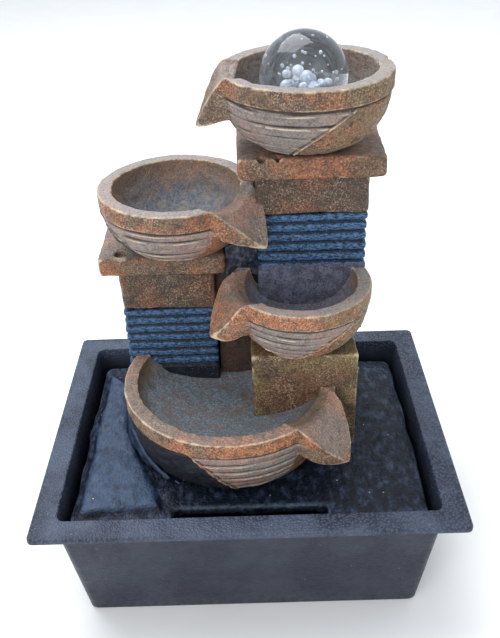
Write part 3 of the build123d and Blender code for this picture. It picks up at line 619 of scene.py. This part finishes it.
def turned(profile, r_plan, z):
    """The section's distance carried round the bowl's axis."""
    step = 0.25
    table_r = np.arange(0, float(r_plan.max()) + 2 * step, step)
    table = section_distance(profile, table_r, z)
    place = r_plan / step
    first = place.astype(int)
    part = (place - first)[:, :, None]
    return table[first] * (1 - part) + table[first + 1] * part


def blend_union(a, b, width):
    """Union of two fields with a fillet of about a width."""
    h = np.clip(0.5 + 0.5 * (b - a) / width, 0, 1)
    return b * (1 - h) + a * h - width * h * (1 - h)


def box_distance(field, node, grow=0.0):
    """Distance to a CAD node's box on a field's grid."""
    low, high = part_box(node)
    middle, half = (low + high) / 2 / MM, (high - low) / 2 / MM
    parts = []
    for axis, m, h in zip((field.x, field.y, field.z), middle, half):
        parts.append(np.abs(axis - m) - (h + grow))
    return np.maximum(np.maximum(parts[0], parts[1]), parts[2])


def add_spout(form, bowl, out, side, z):
    """Notches the rim and joins a downturned leaf-shaped spout to it. out and side are plan distances."""
    start = form.rim_r - 1.5
    s = np.clip((out - start) / (form.tip_r - start), 0, 1)
    half = form.half * (1 - s**form.fullness) ** 0.85 + 0.8
    ridge = form.rim_z - 0.2 - (form.rim_z - form.tip_z) * s**1.3
    across = np.clip(np.abs(side) / half, 0, 1)
    trough = ridge - (1.0 + 3.6 * (1 - s)) * (1 - across**2.2)
    under = form.tip_z - TIP_WALL + ROOT_RISE * (1 - s) ** 0.9
    lean = 0.10 * (ridge - z)
    leaf = np.maximum((z - trough) * 0.62, (under - z) * 0.9)
    leaf = np.maximum(leaf, (np.abs(side) - half + lean) * 0.8)
    leaf = np.maximum(leaf, np.maximum(start - 2.5 - out, out - form.tip_r))
    notch = np.maximum((trough - z) * 0.9, np.abs(side) - form.half)
    notch = np.maximum(notch, form.rim_r - form.rim_w - 4 - out)
    return blend_union(np.maximum(bowl, -notch), leaf, 1.6)


def carved_material(form):
    """The carved resin of one bowl. Its brown is brightened by a gain of its own, painted light that makes
    up for the light each bowl gets; the paint inside differs from bowl to bowl, partly its own colour and
    partly painted light in the same way.
    """
    # Inside colour, inside wall colour and brightness gain for each bowl: the gain and part of the inside
    # colours are painted light, lighter for the bowls that sit in shade.
    inside, inside_wall, painted_light_gain = {
        "bowl_top": ((0.20, 0.205, 0.225), (0.27, 0.235, 0.21), 1.0),
        "bowl_left": ((0.075, 0.088, 0.108), (0.17, 0.130, 0.100), 1.15),
        "bowl_middle": ((0.18, 0.20, 0.27), (0.16, 0.14, 0.13), 1.45),
        "bowl_front": ((0.21, 0.255, 0.30), (0.15, 0.115, 0.080), 1.6),
    }[form.node]
    body = tuple(painted_light_gain * c for c in BROWN)
    patches = tuple(painted_light_gain * c for c in RUST)
    return painted_resin(form.node + "_resin", body, patches, inside=inside, inside_wall=inside_wall)


def carve_bowl(form, material):
    """One bowl: rounded edges, carved lines on its front, a raised limit line, pits and chips."""
    field = Field(form.node, 0.55 if form.rim_r > 50 else 0.5)
    dx, dy = field.x - form.centre[0], field.y - form.centre[1]
    r = np.sqrt(dx**2 + dy**2)
    turn = math.radians(form.angle)
    out = dx * math.cos(turn) + dy * math.sin(turn)
    side = dy * math.cos(turn) - dx * math.sin(turn)
    whole = turned(form.profile(), r[:, :, 0], field.axes[2])
    field.d = add_spout(form, whole, out, side, field.z)
    for node in form.behind:
        field.d = np.maximum(field.d, -box_distance(field, node, -0.8))
    field.soften(0.65)

    angle = np.degrees(np.arctan2(dy, dx))
    angle = np.where(angle > 90, angle - 360, angle)
    depth = form.band_z - field.z
    fall = np.clip(depth / (form.band_z - form.foot_z), 0, 1)
    wall_r = form.foot_r + (form.rim_r - form.foot_r) * np.sqrt(np.clip(1 - fall**2, 0, 1))
    outside = smoothstep(-3.5, -2.0, r - wall_r) * smoothstep(0.2, 1.2, depth)
    limit_angle = form.limit_at_band + (form.limit_at_foot - form.limit_at_band) * fall**0.8
    along = np.radians(angle - limit_angle) * r
    if form.side == "left":
        along = -along
    leaf_edge = np.abs(side) - form.half * 0.9
    clear_of_spout = np.maximum(smoothstep(0, 4, leaf_edge), smoothstep(0, -1, out))
    lined = outside * smoothstep(0.4, -0.8, along) * clear_of_spout

    pitch = (form.band_z - form.foot_z - 1.5) / (form.lines + 0.6)
    wander = 0.6 * field.lumps((14, 14, 9), 5)
    phase = (depth + wander - 0.35 * pitch) / pitch
    to_line = (phase - np.round(phase)) * pitch
    strength = np.clip(0.75 + 0.45 * field.lumps((7, 7, 3), 6), 0.25, 1.3)
    ridges = 0.50 * bump(to_line, 0.35, 0.50) - 0.75 * bump(to_line, -0.70, 0.55)
    scratches = 0.22 * field.lumps((9, 9, 1.1), 7)
    field.d = field.d - lined * (strength * ridges + scratches)
    field.d = field.d - outside * 0.45 * bump(along, 0.6, 0.7) + outside * 0.6 * bump(along, -0.7, 0.7)

    if form.side == "left":
        rocky = outside * smoothstep(0.4, 2.0, along)
        field.d = field.d + rocky * (0.35 * field.lumps(4.5, 21) + 0.30 * field.lumps(2.2, 22))

    groove = smoothstep(-3.5, -2.0, r - form.rim_r) * bump(field.z, form.band_z - 0.2, 0.55)
    field.d = field.d + 0.75 * groove * clear_of_spout

    stippled = outside * smoothstep(-0.4, 0.8, along)
    pits = np.clip(field.lumps(1.6, 11) - 0.35, 0, 1.2)
    field.d = field.d + (0.12 + 0.45 * stippled) * pits
    field.d = field.d + 0.10 * field.lumps(2.6, 12) + 0.18 * field.lumps(9.0, 33)
    inner_r = form.rim_r - form.rim_w
    hollow = smoothstep(inner_r - 0.5, inner_r - 4, r) * smoothstep(-2, 2, -depth + 4)
    field.d = field.d + hollow * (0.35 * field.lumps(4.0, 15) + 0.30 * field.lumps((9, 9, 4), 16))
    edges = np.clip(blurred(field.d, 6) - field.d, 0, 0.5)
    chips = smoothstep(1.2, 1.8, field.lumps(3.0, 23))
    field.d = field.d + 0.5 * chips * smoothstep(0.05, 0.3, edges)

    def paint(points, normals):
        px, py, pz = points[:, 0] - form.centre[0], points[:, 1] - form.centre[1], points[:, 2]
        pr = np.hypot(px, py) + 1e-6
        outward = (normals[:, 0] * px + normals[:, 1] * py) / pr
        level = smoothstep(0.75, 0.95, normals[:, 2])
        rim_top = level * smoothstep(form.rim_z - 1.4, form.rim_z - 0.7, pz)
        within = smoothstep(form.rim_r - 2, form.rim_r - 5, pr)
        inside = smoothstep(-0.1, 0.2, normals[:, 2] - outward) * within * (1 - rim_top)
        low_inside = inside * smoothstep(form.rim_z - 2, form.floor_z + 6, pz)
        trough = (1 - within) * smoothstep(0.45, 0.75, normals[:, 2]) * (1 - rim_top)
        beyond = field.at(np.broadcast_to(along, field.d.shape), points)
        below = smoothstep(0.0, 1.0, form.band_z - pz) * (1 - inside)
        black = smoothstep(0.2, 1.4, beyond) * below * (form.side == "left")
        lavender = field.at(lined, points) * 0.6
        rim_grey = 0.35 if form.node == "bowl_front" else 0.8
        olive = smoothstep(0, 20, px) * (1 - inside) * (form.side == "right")
        return {"grey": np.clip(rim_top * rim_grey + lavender + 0.4 * trough, 0, 1), "blue": low_inside,
                "black": black, "olive": 0.75 * olive, "calm": field.at(lined, points), "within": inside}

    cast_piece(field, material, paint)


# ---------------------------------------------------------------- blocks


def cast_block(node, material, voxel=0.7, paint=None, lump=0.50):
    """A brown block or slab with worn edges, pits and chips."""
    field = Field(node, voxel)
    field.soften(0.8)
    seed = sum(map(ord, node))
    pits = np.clip(field.lumps(1.9, seed + 1) - 0.5, 0, 1.2)
    field.d = field.d + 0.25 * pits + lump * field.lumps(13.0, seed + 2) + 0.14 * field.lumps(3.0, seed + 3)
    edges = blurred(field.d, 6) - field.d
    chips = smoothstep(0.9, 1.5, field.lumps(4.5, seed + 4))
    field.d = field.d + 1.2 * chips * smoothstep(0.05, 0.3, edges)
    cast_piece(field, material, paint)


def slab_paint(points, normals):
    """Slabs: greyish tops."""
    level = smoothstep(0.7, 0.95, normals[:, 2])
    return {"grey": 0.35 * level}


def lower_paint(points, normals):
    """Lower right block: olive near its top and upright edges, rust in the middle."""
    low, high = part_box("lower_right_block")
    middle, half = (low.x + high.x) / 2 / MM, (high.x - low.x) / 2 / MM
    sides = smoothstep(half - 13, half - 2, np.abs(points[:, 0] - middle))
    top = smoothstep(108, 122, points[:, 2])
    return {"olive": np.clip(np.maximum(sides, top), 0.15, 1)}


RIB_PITCH, RIB_HIGH = 5.35, 4.2


def cast_ribs(node, material, plain_top):
    """A ribbed blue block: round-edged, unevenly brushed ribs between grooves, plain below plain_top."""
    field = Field(node, 0.6)
    field.soften(0.5)
    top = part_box(node)[1].z / MM
    outer = box_distance(field, node)
    wander = 0.25 * field.lumps((14, 14, 20), 33)
    groove_at = np.mod(top - field.z + wander, RIB_PITCH) - (RIB_HIGH + RIB_PITCH) / 2
    away = np.minimum(np.abs(groove_at), np.abs(groove_at + RIB_PITCH))
    ribbed = smoothstep(plain_top - 0.5, plain_top + 0.5, field.z)
    skin = smoothstep(-2.2, -1.2, outer)
    field.d = field.d + ribbed * skin * (1.1 * bump(away, 0, 0.65) + 0.25 * smoothstep(1.9, 0.7, away))
    field.d = field.d + 0.10 * field.lumps((9, 9, 2.5), 31) + 0.10 * field.lumps(1.6, 32)

    def paint(points, normals):
        plain = smoothstep(plain_top + 0.5, plain_top - 0.5, points[:, 2])
        from_groove = field.at(away, points)
        return {"rib": smoothstep(0.35, 1.25, from_groove) * (1 - plain), "plain": plain}

    cast_piece(field, material, paint)


def cast_rock(node, material, voxel, rise, softness=1.4):
    """Black rock: knobs and hollows over the CAD solid, kept inside its size."""
    field = Field(node, voxel)
    field.soften(softness)
    knobs = rise * field.lumps((16, 20, 12), 41) + 0.45 * rise * field.lumps(6.5, 42)
    knobs = knobs + 0.20 * rise * field.lumps((2.2, 6, 2.2), 43)
    field.d = field.d + np.clip(knobs, -0.7 * rise, 0.7 * rise) + 0.3 * rise

    def paint(points, normals):
        """The deck's raised left part and the rock foot's upward faces are painted lighter and bluer:
        settled dust together with a painted sheen from above.
        """
        raised = smoothstep(66.2, 68.0, points[:, 2]) * smoothstep(0.3, 0.8, normals[:, 2])
        return {"dust_and_sheen": raised if node == "rock_deck" else smoothstep(-0.4, 0.6, normals[:, 2])}

    cast_piece(field, material, paint)


# ---------------------------------------------------------------- ball


def make_ball(glass, skin):
    """Clear ball with a cluster of bubbles low in it and a scatter above."""
    low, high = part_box("crystal_ball")
    centre, radius = (low + high) / 2, (high.x - low.x) / 2
    mesh = bpy.data.meshes.new("glass_ball")
    shape = bmesh.new()
    bmesh.ops.create_icosphere(shape, subdivisions=6, radius=radius)
    shape.to_mesh(mesh)
    shape.free()
    mesh.transform(Matrix.Translation(centre))
    mesh.materials.append(glass)
    mesh.shade_smooth()
    ball = bpy.data.objects.new("glass_ball", mesh)
    bpy.context.scene.collection.objects.link(ball)
    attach(ball, BODY_OF["crystal_ball"])
    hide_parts("crystal_ball")

    clustered, scattered = 46, 60
    cluster_reach, scatter_reach = 16.5, 17.5
    rng = np.random.default_rng(7)
    cloud = bmesh.new()
    for _ in range(clustered):
        size = rng.uniform(0.9, 2.6)
        spot = rng.normal(0, 1, 3) * (5.0, 3.6, 2.6) + (2.5, -3.0, -3.5)
        reach = np.linalg.norm(spot)
        if reach > cluster_reach:
            spot = spot * cluster_reach / reach
        add_bubble(cloud, centre, spot, size, 3)
    for _ in range(scattered):
        size = rng.uniform(0.25, 0.75)
        spot = rng.normal(0, 1, 3)
        spot = spot / np.linalg.norm(spot) * rng.uniform(5, scatter_reach)
        add_bubble(cloud, centre, spot, size, 2)
    bubble_mesh = bpy.data.meshes.new("ball_bubbles")
    cloud.to_mesh(bubble_mesh)
    cloud.free()
    bubble_mesh.materials.append(skin)
    bubble_mesh.shade_smooth()
    bubbles = bpy.data.objects.new("ball_bubbles", bubble_mesh)
    bpy.context.scene.collection.objects.link(bubbles)
    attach(bubbles, BODY_OF["crystal_ball"])


def add_bubble(cloud, centre, spot, size, detail):
    """One round bubble at a place from the ball's centre, in millimetres."""
    place = Matrix.Translation(centre + Vector(spot) * MM)
    bmesh.ops.create_icosphere(cloud, subdivisions=detail, radius=size * MM, matrix=place)


# ---------------------------------------------------------------- camera, floor and light

CAMERA_AT = Vector((5.843, -331.417, 359.371)) * MM
YAW, PITCH, ROLL = -0.0080, 0.5829, -0.0356
FOCAL_PIXELS, IMAGE_HEIGHT, SENSOR = 782.3, 638, 36.0


def make_camera():
    """Camera at the photo's angle: yaw about +Z, then pitch down, then roll."""
    ahead = Vector((math.sin(YAW) * math.cos(PITCH), math.cos(YAW) * math.cos(PITCH), -math.sin(PITCH)))
    right = Vector((math.cos(YAW), -math.sin(YAW), 0))
    up = right.cross(ahead)
    camera_x = math.cos(ROLL) * right + math.sin(ROLL) * up
    camera_y = -math.sin(ROLL) * right + math.cos(ROLL) * up
    data = bpy.data.cameras.new("camera")
    data.sensor_width = SENSOR
    data.lens = FOCAL_PIXELS * SENSOR / IMAGE_HEIGHT
    data.clip_start = 0.01
    camera = bpy.data.objects.new("camera", data)
    bpy.context.scene.collection.objects.link(camera)
    turn = Matrix((camera_x, camera_y, -ahead)).transposed().to_4x4()
    camera.matrix_world = Matrix.Translation(CAMERA_AT) @ turn
    bpy.context.scene.camera = camera


def make_floor():
    """Plain pale floor."""
    g = Graph("floor_paper")
    tone = g.mix(g.range(g.noise(60, 2), 0.3, 0.7), (0.90, 0.90, 0.90), (0.92, 0.92, 0.92))
    material = g.finish(tone, 0.9)
    floor = build_mesh("floor", [(-3, -3, 0), (3, -3, 0), (3, 3, 0), (-3, 3, 0)], [(0, 1, 2, 3)], material)


def area_light(name, place, target, size, power, colour):
    """Soft rectangular light that points at a target."""
    data = bpy.data.lights.new(name, "AREA")
    data.shape = "RECTANGLE"
    data.size, data.size_y = size
    data.energy = power
    data.color = colour
    light = bpy.data.objects.new(name, data)
    light.location = place
    light.rotation_euler = (Vector(target) - Vector(place)).to_track_quat("-Z", "Y").to_euler()
    bpy.context.scene.collection.objects.link(light)


def make_light():
    """Large soft overhead light, a fill from the front, and an even pale surround."""
    world = bpy.data.worlds.new("surround")
    world.use_nodes = True
    world.node_tree.nodes["Background"].inputs["Color"].default_value = (0.91, 0.955, 1.0, 1)
    world.node_tree.nodes["Background"].inputs["Strength"].default_value = 0.9
    bpy.context.scene.world = world
    area_light("overhead", (-0.25, 0.35, 1.1), (0, 0, 0.15), (0.9, 0.9), 13, (0.96, 0.98, 1.0))
    area_light("front_fill", (-0.5, -1.0, 0.7), (0, 0, 0.12), (0.8, 0.8), 6, (1.0, 0.97, 0.94))
    bpy.context.scene.view_settings.view_transform = "Standard"


# ---------------------------------------------------------------- the fountain

SLAB = painted_resin("slab_resin", (0.33, 0.118, 0.050), (0.17, 0.098, 0.058), stipple=0.6)
BLOCK = painted_resin("block_resin", (0.19, 0.076, 0.039), (0.100, 0.061, 0.040), stipple=0.75)
DARK_WALL = painted_resin("wall_resin", (0.050, 0.027, 0.021), (0.075, 0.034, 0.025), stipple=0.4,
                          cream=(0.22, 0.15, 0.11))
RIBBED = (
    ("blue_block_right", 165.5, (0.150, 0.155, 0.215)),
    ("blue_block_left", 98.0, (0.010, 0.012, 0.020)),
)
ROCK = black_rock("black_rock_painted")

make_tub(tub_plastic("tub_plastic"))
for bowl in BOWLS:
    carve_bowl(bowl, carved_material(bowl))
for slab in ("slab_right", "slab_left"):
    cast_block(slab, SLAB, paint=slab_paint)
for brown in ("brown_block_right", "brown_block_left"):
    cast_block(brown, BLOCK)
cast_block("lower_right_block", BLOCK, 0.8, lower_paint)
cast_block("recessed_back_wall", DARK_WALL, 0.8)
for ribbed, plain_top, low_colour in RIBBED:
    cast_ribs(ribbed, blue_resin(ribbed + "_resin", low_colour), plain_top)
cast_rock("rock_deck", ROCK, 0.95, 0.9)
cast_rock("front_rock_foot", ROCK, 0.8, 1.2)
cast_rock("rock_filler", black_rock("filler_rock_painted", (0.15, 0.115, 0.105)), 0.7, 0.8, 0.6)
make_ball(clear_glass("ball_glass"), bubble_painted_reflection("bubble_painted_reflection"))

PLAIN = {
    "ball_seat": plain_plastic("seat_clear", (0.80, 0.84, 0.88), 0.15, Transmission_Weight=0.8),
    "light_housing": plain_plastic("light_black", (0.02, 0.02, 0.022), 0.45),
    "light_lens": plain_plastic("lens_frosted", (0.85, 0.87, 0.9), 0.35, Transmission_Weight=0.6),
    "jet_nozzle": plain_plastic("nozzle_white", (0.75, 0.75, 0.72), 0.35),
    "riser_tube": plain_plastic("hose_clear", (0.75, 0.76, 0.74), 0.25, Transmission_Weight=0.6),
    "rear_access_cover": plain_plastic("cover_black", (0.03, 0.03, 0.033), 0.5, 0.8, 0.08),
    "pump_motor_housing": plain_plastic("pump_black", (0.022, 0.022, 0.025), 0.42, 0.7, 0.06),
    "pump_chamber": plain_plastic("chamber_black", (0.025, 0.025, 0.028), 0.40, 0.7, 0.06),
    "shaft_bushes": plain_plastic("bush_rubber", (0.02, 0.02, 0.02), 0.7),
    "impeller_shaft": plain_plastic("shaft_ceramic_white", (0.85, 0.85, 0.82), 0.2),
    "pump_impeller": plain_plastic("rotor_dark", (0.06, 0.06, 0.065), 0.45),
    "intake_cover": plain_plastic("strainer_black", (0.022, 0.022, 0.025), 0.42, 0.7, 0.06),
    "intake_sponge": plain_plastic("sponge_black", (0.025, 0.025, 0.03), 0.95, 1.1, 0.6),
    "flow_regulator": plain_plastic("regulator_white", (0.72, 0.72, 0.70), 0.35),
    "suction_cups": plain_plastic("cup_rubber", (0.018, 0.018, 0.02), 0.55),
    "pump_cable_gland": plain_plastic("gland_rubber", (0.018, 0.018, 0.02), 0.6),
}
for node_name, plain in PLAIN.items():
    held = frame["nodes"][node_name].data
    held.materials.clear()
    held.materials.append(plain)

make_floor()
make_light()
make_camera()
